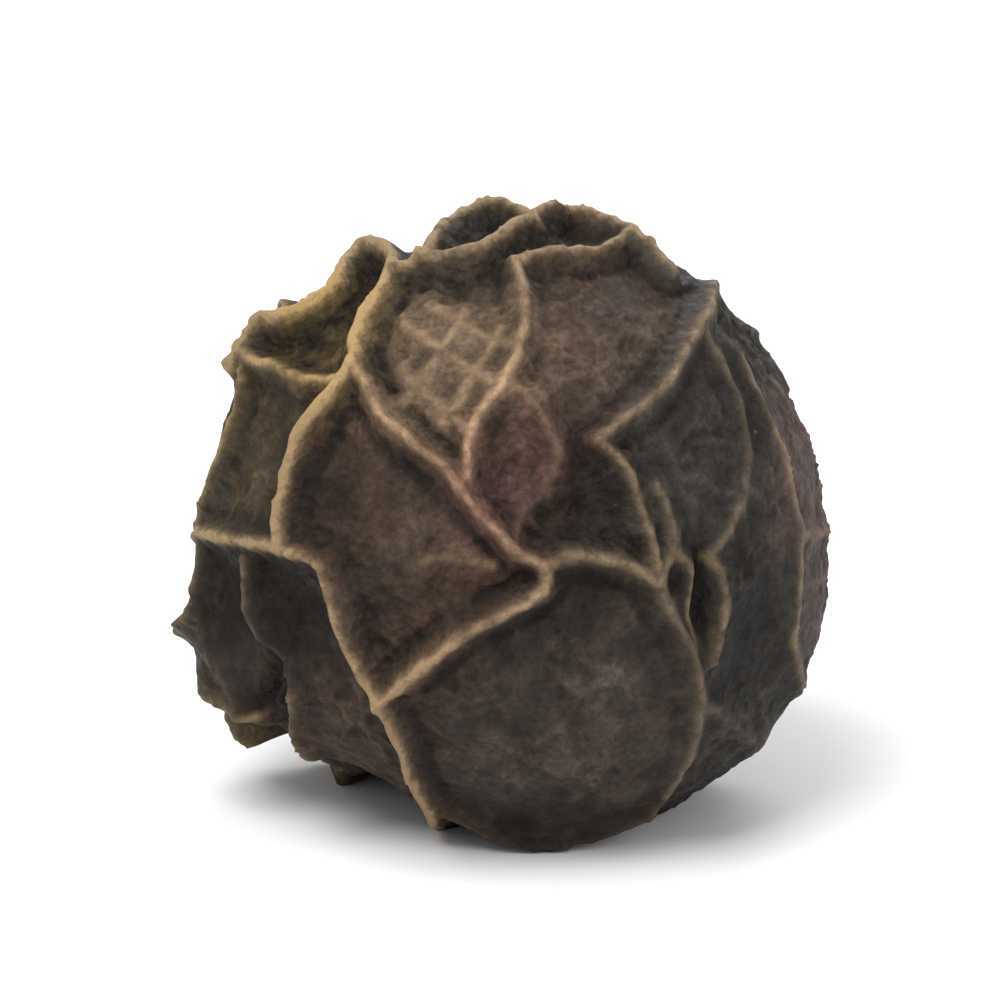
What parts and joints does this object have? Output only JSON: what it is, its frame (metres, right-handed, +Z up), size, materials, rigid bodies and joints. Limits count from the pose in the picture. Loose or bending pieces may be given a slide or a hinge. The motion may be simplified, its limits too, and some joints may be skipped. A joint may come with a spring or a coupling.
{
  "type": "black peppercorn",
  "caption": "Dried pepper berry, nearly round, its dark skin shrunk into a raised net of folds, resting on a small flat spot and three knots of the net round it.",
  "frame": {"origin": "under the middle of the berry, on the surface that it rests on", "axes": "+X across the berry's longest way, +Y away from the viewer, +Z up from the spot that it rests on"},
  "size_m": [0.005, 0.005, 0.0047],
  "materials": {
    "dried_skin": "matt, wrinkled, with paler worn crests on the folds"
  },
  "bodies": {
    "root": {"peppercorn": "dried_skin"}
  },
  "joints": []
}
